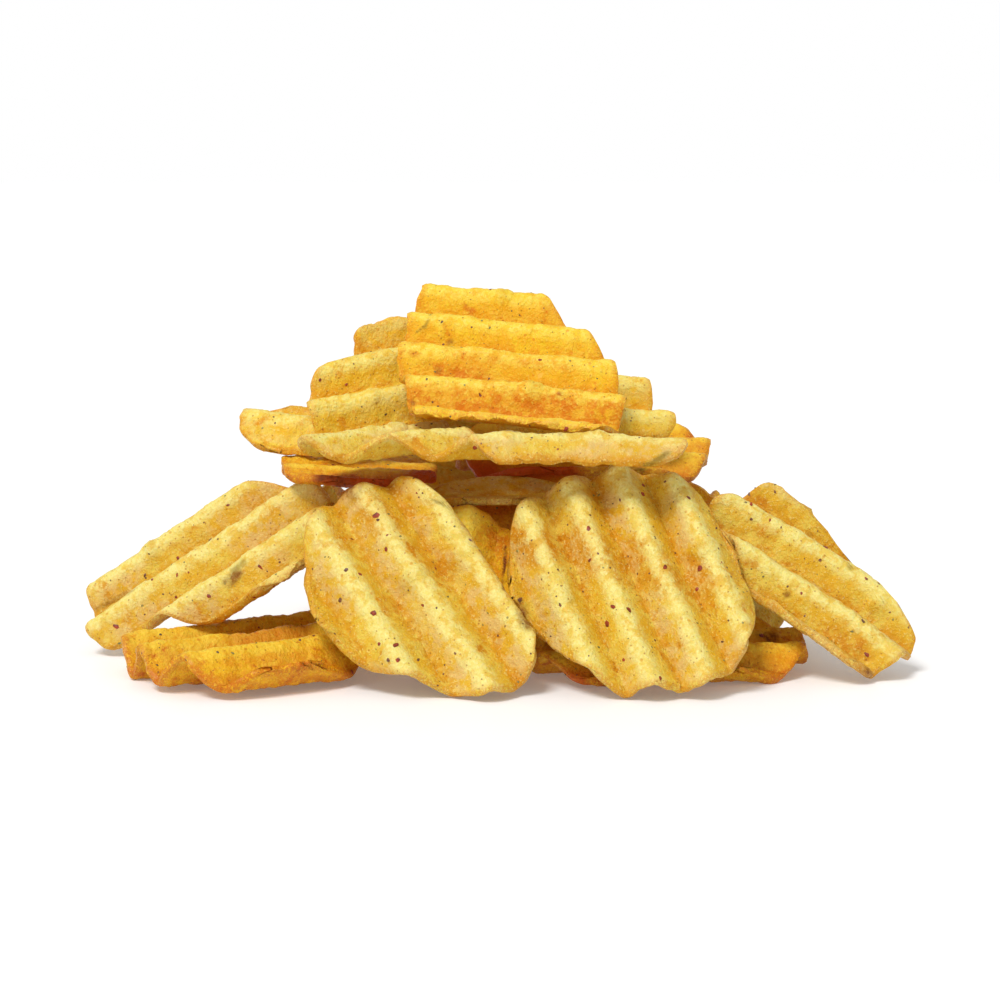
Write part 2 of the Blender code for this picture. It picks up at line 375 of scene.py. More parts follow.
def oval(length, width):
    stations = []
    for share in OVAL_STATIONS:
        reach = length / 2 * (1 - abs(share) ** OVAL_POWER) ** (1 / OVAL_POWER)
        stations.append((share * width / 2, -reach, reach))
    return stations


def cut(lean, heading, ridges, outline, tone, seed, **sizes):
    """One slice: it leans back by lean, its upper face looks towards heading, 0 being the front,
    and ridges is the angle of its ridges to the horizontal."""
    names = {"pitch": "Ridge pitch", "phase": "Ridge phase", "bow": "Bow",
             "curl_along": "Curl along", "curl_across": "Curl across", "pink": "Pink side"}
    changes = {names[key]: float(value) for key, value in sizes.items() if key in names}
    changes["Ridge height"] = SLICE_INPUTS["Ridge height"] * sizes.get("depth", 1.0)
    changes["Seed"] = float(seed)
    return {"lean": lean, "heading": heading, "ridges": ridges, "outline": outline, "seed": seed,
            "tone": tone, "finish": sizes.get("finish", tone), "sizes": changes}


print("an oval of 50 by 35 mm has", len(oval(50, 35)), "stations")

# %% The list of slices
SLICES = {
    "floor_left": cut(
        2, -135, 165,
        [(-20, -9, 3), (-17, -14, 10), (-12, -20, 16), (-4, -24, 21), (4, -25, 23),
         (12, -24, 21), (17, -21, 15), (20.5, -13, 8)],
        "toasted", 2, pitch=12.2, phase=0.08, depth=1.38),
    "floor_right": cut(3, 0, 8, oval(54, 36), "toasted", 5, phase=0.1),
    "front_left": cut(
        50, 0, 120,
        [(-13, -23.5, 9), (-10, -27.5, 20), (-4, -29, 21.5), (2, -26.5, 23.5),
         (8, -21.5, 23), (13, -16.5, 20), (17.5, -10, 13), (20.5, -3, 5)],
        "pale", 8, pitch=11.2, phase=0.25, pink=-1),
    "front_right": cut(
        52, 0, 110,
        [(-22, -5, 3), (-20, -15, 12), (-15.5, -22, 17), (-8, -25, 21.5), (0, -25, 23),
         (5, -23.5, 23), (10, -22, 22.5), (14.5, -15, 20.5), (18, -8.5, 14), (21.5, 0, 5)],
        "pale", 9, pitch=9.9, phase=-0.1, curl_across=-1.5, pink=-1),
    "middle_front": cut(60, 0, 84, oval(35, 28), "golden", 3, pitch=12.5, phase=0.3),
    # Painted shade: this slice lies in a shadowed gap and takes the deep finish.
    "middle_back": cut(78, 0, 6, oval(44, 32), "golden", 4, phase=0.4, finish="deep"),
    "left_wing": cut(
        45, -42, 52,
        [(-20.5, 8, 14), (-17, 3, 15.5), (-12.8, -9, 19), (-8, -16, 22), (-5.5, -21, 24),
         (-3.5, -28.5, 25), (0, -30.5, 25), (5, -30.5, 22), (10, -29.5, 15), (14, -27, 9)],
        "pale", 6, pitch=10.4, phase=0.1),
    "right_wing": cut(
        45, 25, 132,
        [(-14.5, 13, 19.5), (-13, 6, 20.5), (-11.5, 0, 21.5), (-10, -7, 22.3), (-8.5, -11, 23),
         (-5.5, -12.5, 24.5), (-4.5, -16.7, 26), (-2.4, -22.5, 26), (4, -22, 19),
         (9.5, -18.5, 11.5), (12, -17.5, 8), (14.5, -15.5, 2)],
        "pale", 7, pitch=10, phase=0.72, bow=2),
    "back_left": cut(51, 150, 70, oval(38, 36), "pale", 21, phase=0.2),
    "back_right": cut(51, 208, 115, oval(38, 36), "golden", 22, phase=0.5),
    # Painted shade: this slice lies in a shadowed gap and takes the deep finish.
    "back_middle": cut(42, 176, 60, oval(42, 36), "golden", 23, phase=0.7, finish="deep"),
    "right_prop": cut(58, 200, 20, oval(30, 30), "pale", 26, phase=0.9),
    "ledge": cut(14, 0, 2, oval(27, 12), "pale", 27, pitch=14, phase=0.75, depth=0.5),
    "cap_left": cut(3, 90, -90, oval(32, 34), "golden", 10, depth=0.4, finish="toasted"),
    "cap_right": cut(9, 0, 0, oval(52, 40), "toasted", 11, depth=0.8),
    "shelf": cut(
        1, 0, 10,
        [(-14, -3, 28), (-11.5, -6, 32), (-9, -8.5, 33.5), (-5, -14, 28), (-1, -20, -2),
         (4, -28, -6), (11, -38, -9), (14, -38, -11), (17, -34, -14)],
        "pale", 14, curl_along=-0.5, pitch=10.2, phase=0.15, bow=-4),
    "top_left": cut(22, 0, -12, oval(26, 17), "golden", 12, pitch=13, phase=0.3, depth=0.8,
                    finish="light_gold"),
    "upper_right": cut(
        31, 0, -2,
        [(-12, -16, 18.5), (-8, -17, 19), (-6.5, -17, 15), (0, -16, 15.5), (6, -14, 14)],
        "golden", 13, finish="light_gold"),
    "upper_left": cut(
        38, 0, 15,
        [(-4, -25.5, 8), (-1, -26.5, 9), (4, -26.5, 9), (10, -25, 9), (13, -23, 9),
         (14.5, -15.5, 8), (18, -14.5, 7), (23.5, -12, 4)],
        "golden", 16, finish="light_gold"),
    "upper_back": cut(70, 182, 8, oval(46, 50), "pale", 25),
    "summit": cut(
        31, 0, -9,
        [(-18.5, -17.5, 20.5), (-15, -19, 22), (-9, -21, 23), (-3, -22.5, 21), (4, -24, 19),
         (10, -24, 15.5), (15, -24, 11.5), (22, -24, 5), (26, -23, -2), (28.5, -21, -8)],
        "golden", 15, pitch=10.2),
}
assert {name + "_crisp" for name in SLICES} == set(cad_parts)
print("slices to cut:", len(SLICES))

# %% [markdown]
# ## Cutting the flat slice
#
# A potato's outline is no smooth curve: the rim strays a little, is nibbled finely, and its
# corners are round. Stations and a smooth curve through them give the outline, and seeded random
# steps the bites.

# %% The rim
GRID_STEP = 0.36
# How far the rim strays from its outline.
RAGGED = 0.5
# The rim's bites, as how long and how deep they are.
BITES = ((3.6, 0.34), (1.5, 0.20), (0.8, 0.14))
CORNER_RADIUS = 2.2
# How far from the first and last station their bites are still felt.
END_BITE_REACH = 2.5


def outline_at(stations, column, u):
    """How far the slice reaches at u, on a smooth curve through the stations."""
    table = np.array(stations)
    last = len(table) - 2
    index = np.clip(np.searchsorted(table[:, 0], u, side="right") - 1, 0, last)
    here, there = table[index], table[index + 1]
    before, after = table[np.maximum(index - 1, 0)], table[np.minimum(index + 2, last + 1)]
    gap = there[:, 0] - here[:, 0]
    share = (u - here[:, 0]) / gap
    rise_here = (there[:, column] - before[:, column]) / (there[:, 0] - before[:, 0]) * gap
    rise_there = (after[:, column] - here[:, column]) / (after[:, 0] - here[:, 0]) * gap
    square, cube = share**2, share**3
    value = (2 * cube - 3 * square + 1) * here[:, column] + (3 * square - 2 * cube) * there[:, column]
    return value + (cube - 2 * square + share) * rise_here + (cube - square) * rise_there


def stray(t, seed):
    """Two slow waves, which no two slices share."""
    return np.sin(0.16 * t + 1.7 * seed) + 0.6 * np.sin(0.37 * t + 2.9 * seed)


def nibble(t, seed):
    """Uneven bites along a rim: smooth steps between random depths, at three sizes."""
    total = np.zeros_like(t)
    for size, (length, depth) in enumerate(BITES):
        draw = np.random.default_rng([int(seed), size]).uniform(-1, 1, 400)
        turn = t / length + 150.0
        knot = np.floor(turn).astype(int)
        share = turn - knot
        share = share * share * (3 - 2 * share)
        total += depth * (draw[knot] * (1 - share) + draw[knot + 1] * share)
    return total


print("bites at", len(BITES), "sizes")

# %% [markdown]
# ## The grid of a flat slice
#
# The grid follows the outline, so its rows run along the rim and no face is wasted outside it.
# Every point also keeps how far it lies from the rim, because the rim is rounded off and fries
# darker than the middle.

# %% Flat slices
def flat_slice(name, made):
    """The slice before frying, as a mesh in the XY plane: x runs across the ridges."""
    stations, seed = made["outline"], made["seed"]
    first, last = stations[0][0], stations[-1][0]
    columns = int((last - first) / GRID_STEP) + 1
    u = np.linspace(first, last, columns)
    low = outline_at(stations, 1, u) + RAGGED * stray(u, seed + 2) + nibble(u, seed)
    high = outline_at(stations, 2, u) + RAGGED * stray(u, seed + 4) + nibble(u, seed + 3)
    rows = int(np.max(high - low) / GRID_STEP) + 1
    to_end = np.minimum(u - first, last - u)
    radius = np.minimum(CORNER_RADIUS, (high - low) * 0.45)
    corner = radius - np.sqrt(np.maximum(radius**2 - np.maximum(radius - to_end, 0) ** 2, 0))
    low, high = low + corner, high - corner
    share = np.linspace(0, 1, rows)
    v = low[:, None] + (high - low)[:, None] * share
    fade = np.exp(-to_end / END_BITE_REACH)[:, None]
    ends = np.where(u < (first + last) / 2, -1.0, 1.0)[:, None]
    across = u[:, None] + fade * ends * nibble(v, seed + 7)
    span = np.minimum(v - low[:, None], high[:, None] - v)
    inset = np.minimum(span * 0.9, to_end[:, None])

    index = np.arange(columns * rows).reshape(columns, rows)
    quads = np.stack([index[:-1, :-1], index[1:, :-1], index[1:, 1:], index[:-1, 1:]], -1)
    points = np.stack([across, v, np.zeros_like(v)], -1).reshape(-1, 3) * MM
    mesh = bpy.data.meshes.new(name)
    mesh.from_pydata(points.tolist(), [], quads.reshape(-1, 4).tolist())
    mesh.attributes.new("inset", "FLOAT", "POINT").data.foreach_set("value", inset.reshape(-1))
    return mesh


print("grid step:", GRID_STEP, "mm")

# %% [markdown]
# ## The finish of a crisp
#
# A crisp is yellow where the starch stayed dry, and golden to orange where the seasoning and the oil
# gathered. One side of each ridge gets a pinkish tint of painted light, and the crests are pale, partly
# worn and partly a painted highlight. Slices in the gaps get a deep red-orange of painted shade. All
# of it is mixed from noise at different scales and from what the frying tree stored on each point:
# how high on a ridge it lies, which side of the ridge it is, and how near the rim.

# %% Colours of a crisp
SKIN_SCALE = 1 / MM
FINISHES = {
    # pale crest, also painted glints, dry starch, fried gold, dusted with seasoning, how much of the
    # painted-light pink tint shows
    "pale": ((0.90, 0.78, 0.26), (0.81, 0.60, 0.085), (0.76, 0.43, 0.016), (0.64, 0.25, 0.004), 0.8),
    "light_gold": ((0.92, 0.78, 0.22), (0.87, 0.61, 0.055), (0.83, 0.47, 0.012), (0.72, 0.28, 0.003), 0.3),
    "golden": ((0.96, 0.73, 0.10), (0.93, 0.60, 0.015), (0.88, 0.45, 0.005), (0.74, 0.23, 0.001), 0.1),
    "toasted": ((0.92, 0.62, 0.05), (0.86, 0.48, 0.010), (0.76, 0.31, 0.003), (0.56, 0.12, 0.001), 0.1),
    # Painted shade: the deep finish darkens the slices that lie in the shadowed gaps.
    "deep": ((0.84, 0.42, 0.020), (0.76, 0.30, 0.008), (0.66, 0.18, 0.003), (0.46, 0.07, 0.001), 0.0),
}
# Painted light: a pinkish tint on one wall of each ridge.
PINK_LIGHT_TINT = (0.75, 0.48, 0.16)
# Painted shade: the deep red-orange of the shadowed gaps between slices.
GAP_SHADE_RED = (0.56, 0.08, 0.002)
# Dark brown of burnt spots, also used as painted shade in two strokes.
BURNT_AND_SHADE = (0.19, 0.045, 0.007)
PEEL = (0.24, 0.16, 0.015)
BROWN_GRAIN = (0.36, 0.10, 0.008)
# Scales of the colour's noise, in features per millimetre.
CLOUD_SCALE = 0.10
MOTTLE_SCALE = 0.42
FINE_SCALE = 1.7
print("finishes to mix:", ", ".join(FINISHES))

# %% [markdown]
# ## Mixing the colours
#
# Three short helpers are enough: one reads a number that the frying tree stored, one mixes two
# colours, and one draws round grains, each in a cell of its own.

# %% Helpers for the colours
def attribute(bench, name):
    return bench.make("ShaderNodeAttribute", {"attribute_name": name}, {}, out="Fac")


def mixed(bench, factor, first, second):
    """A colour between two others."""
    sides = [(*side, 1.0) if isinstance(side, tuple) else side for side in (first, second)]
    sockets = {"Factor": factor, "A": sides[0], "B": sides[1]}
    return bench.make("ShaderNodeMix", {"data_type": "RGBA"}, sockets, out="Result")


def grains(bench, place, scale, rarity, width):
    """1 on round grains, which only the cells with a draw above rarity have."""
    sockets = {"Vector": place, "Scale": scale, "Randomness": 1.0}
    reach = bench.make("ShaderNodeTexVoronoi", {}, sockets, out="Distance")
    draw = bench.make("ShaderNodeTexVoronoi", {}, sockets, out="Color")
    return (1.0 - reach.between(width * 0.5, width)) * draw.between(rarity, rarity + 0.03)


# %% [markdown]
# ## The layers of the finish
#
# Each layer is laid over the one before: gold on the starch, a pinkish tint of painted light on one
# side of each ridge, pale crests that are partly worn and partly a painted highlight, seasoning in the
# troughs and at the rim, painted shade in the gaps, loose grains, painted glints, and last the dark
# brown spots, a few of them painted shade, and scraps of peel.

# %% The finish
def crisp_finish(name, bare_and_glint, dry, gold, dusted, light_tint_share):
    material = bpy.data.materials.new("crisp_" + name)
    material.use_nodes = True
    tree = material.node_tree
    tree.nodes.clear()
    bench = Bench(tree)
    place = bench.make("ShaderNodeTexCoord", {}, {}, out="Object")
    place = bench.scaled(place, SKIN_SCALE)
    crest, slope, inset = (attribute(bench, key) for key in ("crest", "slope", "inset"))
    blister = attribute(bench, "blister")
    burnt, peel, dusting, oily = (attribute(bench, key) for key in ("burnt", "peel", "dusting", "oily"))

    clouds = bench.noise(place, CLOUD_SCALE, 4.0, 0.55)
    mottle = bench.noise(place, MOTTLE_SCALE, 5.0, 0.65)
    fine = bench.noise(place, FINE_SCALE, 3.0, 0.6)
    # Gold on the dry starch, less on the crests.
    fried = clouds.between(0.42, 0.6) * 0.45 + mottle.between(0.42, 0.6) * 0.55
    fried = fried + fine.between(0.42, 0.58) * 0.5 - crest.between(0.2, 1.0) * 0.45
    colour = mixed(bench, fried.between(0.0, 1.0), dry, gold)
    # Painted light: a pinkish tint on one side of each ridge, the side set per slice by which way it faces
    # the light.
    pink = slope.between(0.1, 0.8) * (1.0 - mottle.between(0.42, 0.62))
    pink = pink * bench.noise(place, 0.07).between(0.4, 0.55) * light_tint_share
    colour = mixed(bench, pink, colour, PINK_LIGHT_TINT)
    # Pale crests, partly worn and partly a painted highlight, and seasoning in the troughs, at the rim and
    # in clouds.
    worn = crest.between(0.15, 0.9) * (1.0 - mottle.between(0.46, 0.6) * 0.75)
    colour = mixed(bench, worn * (0.45 + fine.between(0.4, 0.6) * 0.5), colour, bare_and_glint)
    low = (-crest).between(0.1, 1.0) * mottle.between(0.38, 0.58)
    colour = mixed(bench, low * 0.6, colour, dusted)
    rim = (1.0 - inset.between(0.1, 1.6)) * fine.between(0.34, 0.56) * 0.7
    colour = mixed(bench, rim, colour, dusted)
    dust = bench.noise(place, 0.16, 5.0, 0.65).between(0.55, 0.68) + dusting
    dust = dust * (0.25 + mottle.between(0.4, 0.6) * 0.75) * (1.0 - crest.between(0.55, 1.0) * 0.6)
    colour = mixed(bench, dust.math("MINIMUM", 1.0), colour, dusted)
    # Painted shade in the gaps, loose grains, painted glints and the marks of one place.
    colour = mixed(bench, oily.math("MINIMUM", 1.0), colour, GAP_SHADE_RED)
    colour = mixed(bench, grains(bench, place, 0.55, 0.66, 0.24) * 0.6, colour, dusted)
    colour = mixed(bench, grains(bench, place, 1.2, 0.7, 0.3) * 0.6, colour, BROWN_GRAIN)
    # Painted glints: small pale highlight specks, none on the gap shade.
    colour = mixed(bench, fine.between(0.54, 0.68) * (1.0 - oily) * 0.5, colour, bare_and_glint)
    # Dark brown spots: burnt, and painted shade in two strokes; blisters brown a little.
    brown = burnt * (0.4 + mottle.between(0.35, 0.6)) + blister.between(0.5, 1.0) * 0.1
    colour = mixed(bench, brown.math("MINIMUM", 1.0), colour, BURNT_AND_SHADE)
    colour = mixed(bench, (peel * (0.6 + mottle)).math("MINIMUM", 1.0), colour, PEEL)

    rough = 0.30 + fine * 0.35
    height = fine * 0.45 + bench.noise(place, 5.0, 2.0, 0.5) * 0.12
    bump = bench.make("ShaderNodeBump", {}, {"Strength": 0.9, "Distance": MM, "Height": height})
    sockets = {"Base Color": colour, "Roughness": rough, "Normal": bump,
               "Specular IOR Level": 0.22, "Subsurface Weight": 0.12,
               "Subsurface Radius": (1.0, 0.5, 0.12), "Subsurface Scale": 0.9 * MM,
               "Coat Weight": 0.06, "Coat Roughness": 0.2}
    surface = bench.make("ShaderNodeBsdfPrincipled", {}, sockets, out="BSDF")
    tree.links.new(surface.socket, tree.nodes.new("ShaderNodeOutputMaterial").inputs["Surface"])
    return material


finishes = {name: crisp_finish(name, *colours) for name, colours in FINISHES.items()}
print("finishes:", ", ".join(finishes))

# %% [markdown]
# ## Frying and laying the slices
#
# A person tips the slices out, and each comes to rest on the ones below. The packed solids
# already lie like that, so only the form is made here. A flat slice goes through the tree, and
# the result is kept as a plain mesh. Every turn and move goes into the mesh, so that the finished
# object sits at the origin.

# %% Through a tree
def socket_names(tree):
    return {item.name: item.identifier for item in tree.interface.items_tree if item.in_out == "INPUT"}


def through_tree(name, mesh, tree, values):
    """The mesh after the tree, as a plain mesh of its own."""
    blank = bpy.data.objects.new(name, mesh)
    bpy.context.scene.collection.objects.link(blank)
    modifier = blank.modifiers.new("tree", "NODES")
    modifier.node_group = tree
    identifiers = socket_names(tree)
    for label, value in values.items():
        modifier[identifiers[label]] = value
    bpy.context.view_layer.update()
    graph = bpy.context.evaluated_depsgraph_get()
    made = bpy.data.meshes.new_from_object(blank.evaluated_get(graph))
    bpy.data.objects.remove(blank)
    bpy.data.meshes.remove(mesh)
    return made


def outward(mesh):
    """Turns every face of a closed mesh to the outside."""
    work = bmesh.new()
    work.from_mesh(mesh)
    bmesh.ops.recalc_face_normals(work, faces=work.faces)
    work.to_mesh(mesh)
    work.free()


def points_of(mesh):
    points = np.empty(len(mesh.vertices) * 3)
    mesh.vertices.foreach_get("co", points)
    return points.reshape(-1, 3)


print("a tree's inputs are set by identifier, such as", socket_names(slice_tree)["Seed"])

# %% [markdown]
# ## Laying a slice down
#
# The slice is turned and leaned, and then put where its solid's box is. Edges sharper than the
# angle below stay crisp to the light, which is what the cut rim looks like.

# %% Make the slices
SHARP_ANGLE = math.radians(60)


def fried_slice(name, made):
    """The finished slice as an object, on the place of its solid."""
    values = {**made["sizes"], "Finish": finishes[made["finish"]]}
    mesh = through_tree(name, flat_slice(name, made), slice_tree, values)
    ridges = Matrix.Rotation(math.radians(made["ridges"]), 4, "Z")
    turn = Euler((math.radians(made["lean"]), 0, math.radians(made["heading"]))).to_matrix().to_4x4()
    mesh.transform(turn @ ridges)
    points = points_of(mesh)
    low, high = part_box(name + "_crisp")
    middle = (points.min(axis=0) + points.max(axis=0)) / 2
    mesh.transform(Matrix.Translation((low + high) / 2 - Vector(middle)))
    outward(mesh)
    mesh.shade_smooth()
    mesh.set_sharp_from_angle(angle=SHARP_ANGLE)
    piece = bpy.data.objects.new(name + "_slice", mesh)
    bpy.context.scene.collection.objects.link(piece)
    return piece


slices = {name: fried_slice(name, made) for name, made in SLICES.items()}
print("slices:", len(slices), "with", sum(len(s.data.polygons) for s in slices.values()), "faces")

# %% [markdown]
# ## Reading the photograph
#
# Some marks belong to one place: a burnt tip, a strip of peel, a patch of seasoning. Each is
# named by a pixel of the picture, and a ray from the camera finds the slice there.

# %% Rays through the picture
node_names = sorted(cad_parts)
node_points, node_faces, face_owner = [], [], []
for node_name in node_names:
    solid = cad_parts[node_name].data
    offset = len(node_points)
    node_points += [vertex.co.copy() for vertex in solid.vertices]
    node_faces += [[offset + i for i in polygon.vertices] for polygon in solid.polygons]
    face_owner += [node_name.removesuffix("_crisp")] * len(solid.polygons)
solids_tree = BVHTree.FromPolygons(node_points, node_faces)
camera_turn = camera.rotation_euler.to_matrix()


def ray_through(x, y):
    middle = FRAME_PIXELS / 2
    ray = camera_turn @ Vector(((x - middle) / FOCAL_PIXELS, (middle - y) / FOCAL_PIXELS, -1.0))
    return ray.normalized()


def seen_at(x, y):
    """The slice's name and the point that shows at a pixel, or None."""
    spot, _, face, _ = solids_tree.ray_cast(camera.location, ray_through(x, y))
    return None if spot is None else (face_owner[face], spot)


print("faces to hit:", len(node_faces))

# %% [markdown]
# ## Painting the marks
#
# A mark is a stroke of pixels with a width in millimetres. On a real slice these are sugar that
# has browned, peel that the knife left, and seasoning that stuck where it was damp. The gap strokes,
# and two of the dark brown strokes, are painted shade where slices lie in shadow. A stroke only
# says where and how strong, and the noise in the finish breaks its edge.

# %% The list of marks
# How many pixels apart the rays of a stroke are.
STROKE_STEP = 3.0
# A stroke fades out at this many times its radius.
STROKE_EDGE = 1.35
STROKES = {
    # kind: (radius in millimetres, strength, pixels of the path)
    "burnt": [
        (1.8, 1.0, [(86, 640), (87, 655)]),
        (0.7, 0.5, [(97, 608), (116, 600), (135, 590)]),
        (1.2, 0.6, [(228, 583), (238, 574)]),
        (1.7, 0.6, [(520, 606), (526, 624)]),
        (0.9, 0.8, [(787, 595)]),
        (0.8, 0.6, [(810, 535)]),
        (2.2, 0.6, [(862, 686), (868, 676)]),
        (1.6, 0.7, [(762, 638), (772, 639)]),
        (0.9, 0.5, [(450, 343)]),
        (0.8, 0.45, [(438, 371)]),
        (0.7, 0.5, [(413, 403)]),
        (0.7, 0.5, [(560, 393)]),
        (0.8, 0.9, [(508, 432), (514, 432)]),
        (0.6, 0.8, [(475, 433)]),
        (0.6, 0.8, [(560, 433)]),
        # Painted shade: the dark face in shadow behind the left front slice's top.
        (3.0, 0.5, [(325, 480), (350, 488)]),
        # Painted shade: the dark seam between two front slices.
        (0.5, 0.8, [(506, 548), (503, 590)]),
    ],
    "peel": [
        (0.4, 0.7, [(430, 315), (425, 326), (417, 332)]),
        (0.9, 0.7, [(640, 470), (655, 462), (667, 452)]),
        (0.7, 0.6, [(850, 567)]),
        (0.5, 0.7, [(428, 498), (450, 507)]),
        (0.8, 0.5, [(233, 570), (243, 562)]),
    ],
    "dusting": [
        (4.5, 0.8, [(372, 505), (384, 520)]),
        (4.5, 0.6, [(420, 555), (440, 570)]),
        (2.6, 0.6, [(335, 525), (345, 540)]),
        (4.0, 0.9, [(505, 545), (535, 550), (560, 540)]),
        (4.5, 0.8, [(560, 540), (620, 560), (660, 572), (700, 590)]),
        (3.0, 0.7, [(590, 480), (600, 500)]),
        (2.5, 1.0, [(690, 565), (700, 580)]),
        (4.0, 0.7, [(840, 640), (862, 665)]),
        (3.0, 0.6, [(180, 505), (150, 535)]),
        (3.0, 0.5, [(250, 500), (270, 505)]),
        (4.5, 1.0, [(425, 402), (480, 409), (540, 413), (600, 415)]),
        (3.0, 1.0, [(596, 404), (620, 414)]),
        (2.2, 0.6, [(570, 362), (450, 350)]),
        (2.8, 0.9, [(590, 392), (520, 385), (430, 372)]),
    ],
    # Painted shade: deep red-orange where slices lie in shadow in the gaps.
    "oily": [
        (5.0, 1.0, [(335, 482), (400, 480), (470, 476), (560, 474)]),
        (3.0, 0.6, [(400, 492), (412, 498)]),
        (3.5, 0.8, [(545, 676), (575, 684)]),
        (3.0, 0.5, [(240, 635), (300, 628)]),
    ],
}
print("strokes:", {kind: len(strokes) for kind, strokes in STROKES.items()})

# %% [markdown]
# ## From strokes to numbers
#
# Rays run along each stroke. Where one hits, the points of that slice round the hit get a number
# from 0 to 1, which falls off with distance. The finish turns the numbers into colour.

# %% Paint the marks
def hits_of(path):
    """Where a path of pixels meets the slices, as (slice, point)."""
    ends = list(zip(path, path[1:])) or [(path[0], path[0])]
    found = []
    for (x0, y0), (x1, y1) in ends:
        steps = max(1, int(math.hypot(x1 - x0, y1 - y0) / STROKE_STEP))
        for i in range(steps + 1):
            seen = seen_at(x0 + (x1 - x0) * i / steps, y0 + (y1 - y0) * i / steps)
            if seen is not None:
                found.append(seen)
    return found


# The painted gap shade goes only on the slices in the shadowed gaps, and never on these slices.
NO_GAP_SHADE_SLICES = ("front_left", "front_right", "shelf", "ledge", "upper_back")


def paint(kind, strokes):
    """Writes this kind of mark to every slice, 0 where there is none."""
    weights = {name: np.zeros(len(piece.data.vertices)) for name, piece in slices.items()}
    for radius, strength, path in strokes:
        for name, spot in hits_of(path):
            if kind == "oily" and name in NO_GAP_SHADE_SLICES:
                continue
            away = np.linalg.norm(points_of(slices[name].data) - np.array(spot), axis=1) / (radius * MM)
            near = np.clip(STROKE_EDGE - away, 0, 1)
            weights[name] = np.maximum(weights[name], strength * near * near * (3 - 2 * near))
    for name, piece in slices.items():
        layer = piece.data.attributes.new(kind, "FLOAT", "POINT")
        layer.data.foreach_set("value", weights[name].astype(np.float32))


for kind, strokes in STROKES.items():
    paint(kind, strokes)
print("painted:", ", ".join(STROKES))

# %% [markdown]
# ## Seasoning
#
# Chilli flakes, dark specks and bits of herb are too many to place one by one. A second tree
# scatters flattened grains over both faces of all slices, turns each to the surface and gives it
# its own size. Realize Instances makes them real mesh, and each kind becomes one piece.

# %% The tree that scatters flakes
FLATNESS = 0.35
FLAKE_INPUTS = {"Per square metre": 1000.0, "Flake size": 0.5, "Flatness": FLATNESS, "Seed": 1}


def seasoning_tree():
    tree, bench, size = start_tree("season", {**FLAKE_INPUTS, "Finish": None})
    spread = bench.make("GeometryNodeDistributePointsOnFaces", {"distribute_method": "RANDOM"},
                        {"Mesh": size["Geometry"], "Density": size["Per square metre"],
                         "Seed": size["Seed"]}, out="Points")
    upright = Wire(bench, spread.socket.node.outputs["Rotation"])
    spin = bench.make("FunctionNodeRandomValue", {"data_type": "FLOAT"},
                      {"Min": 0.0, "Max": math.tau, "Seed": 3}, out="Value")
    spin = bench.make("FunctionNodeEulerToRotation", {}, {0: bench.vector(0.0, 0.0, spin)})
    turned = bench.make("FunctionNodeRotateRotation", {"rotation_space": "LOCAL"},
                        {0: upright, 1: spin})
    grain = bench.make("GeometryNodeMeshIcoSphere", {}, {"Radius": 0.5 * MM, "Subdivisions": 1})
    rough = bench.make("GeometryNodeInputPosition")
    bits = bench.noise(rough, 1.7 / MM, 1.0)
    bits = bench.scaled(rough, bits - 0.5)
    grain = bench.make("GeometryNodeSetPosition", {}, {"Geometry": grain, "Offset": bits})
    wide = bench.make("FunctionNodeRandomValue", {"data_type": "FLOAT"},
                      {"Min": 0.45, "Max": 1.5, "Seed": 4}, out="Value") * size["Flake size"]
    long = bench.make("FunctionNodeRandomValue", {"data_type": "FLOAT"},
                      {"Min": 0.8, "Max": 2.0, "Seed": 5}, out="Value")
    flake = bench.make("GeometryNodeInstanceOnPoints", {},
                       {"Points": spread, "Instance": grain, "Rotation": turned,
                        "Scale": bench.vector(wide * long, wide, wide * size["Flatness"])})
    flake = bench.make("GeometryNodeRealizeInstances", {}, {"Geometry": flake})
    flake = bench.make("GeometryNodeSetMaterial", {}, {"Geometry": flake, "Material": size["Finish"]})
    tree.links.new(flake.socket, tree.nodes.new("NodeGroupOutput").inputs[0])
    return tree


flake_tree = seasoning_tree()
print("seasoning tree:", len(flake_tree.nodes), "nodes")

# %% [markdown]
# ## Three kinds of flake
#
# Chilli is brownish red and coarse, the dark specks are fine, and the herb is a dull green. They
# fall on one mesh of all slices together, so that a few numbers say how much there is of each.

# %% Scatter the seasoning
FLAKES = {
    # colour, how many on a square metre, size in millimetres, seed
    "chilli_flakes": ((0.17, 0.022, 0.005), 3600.0, 0.75, 11),
    "dark_specks": ((0.10, 0.035, 0.015), 24000.0, 0.30, 12),
    "herb_bits": ((0.16, 0.13, 0.03), 9000.0, 0.36, 13),
}


def flake_finish(name, colour):
    material = bpy.data.materials.new(name)
    material.use_nodes = True
    tree = material.node_tree
    tree.nodes.clear()
    bench = Bench(tree)
    place = bench.scaled(bench.make("ShaderNodeTexCoord", {}, {}, out="Object"), SKIN_SCALE)
    lighter = tuple(min(1.0, c * 2.2) for c in colour)
    shade = mixed(bench, bench.noise(place, 1.3, 2.0).between(0.35, 0.65), colour, lighter)
    surface = bench.make("ShaderNodeBsdfPrincipled", {},
                         {"Base Color": shade, "Roughness": 0.5}, out="BSDF")
    tree.links.new(surface.socket, tree.nodes.new("ShaderNodeOutputMaterial").inputs["Surface"])
    return material


def all_slices():
    """One mesh of every slice, for the seasoning to fall on."""
    points, faces, offset = [], [], 0
    for piece in slices.values():
        piece.data.calc_loop_triangles()
        corners = np.empty(3 * len(piece.data.loop_triangles), dtype=np.int32)
        piece.data.loop_triangles.foreach_get("vertices", corners)
        points.append(points_of(piece.data))
        faces.append(corners.reshape(-1, 3) + offset)
        offset += len(points[-1])
    mesh = bpy.data.meshes.new("under_seasoning")
    mesh.from_pydata(np.concatenate(points).tolist(), [], np.concatenate(faces).tolist())
    return mesh


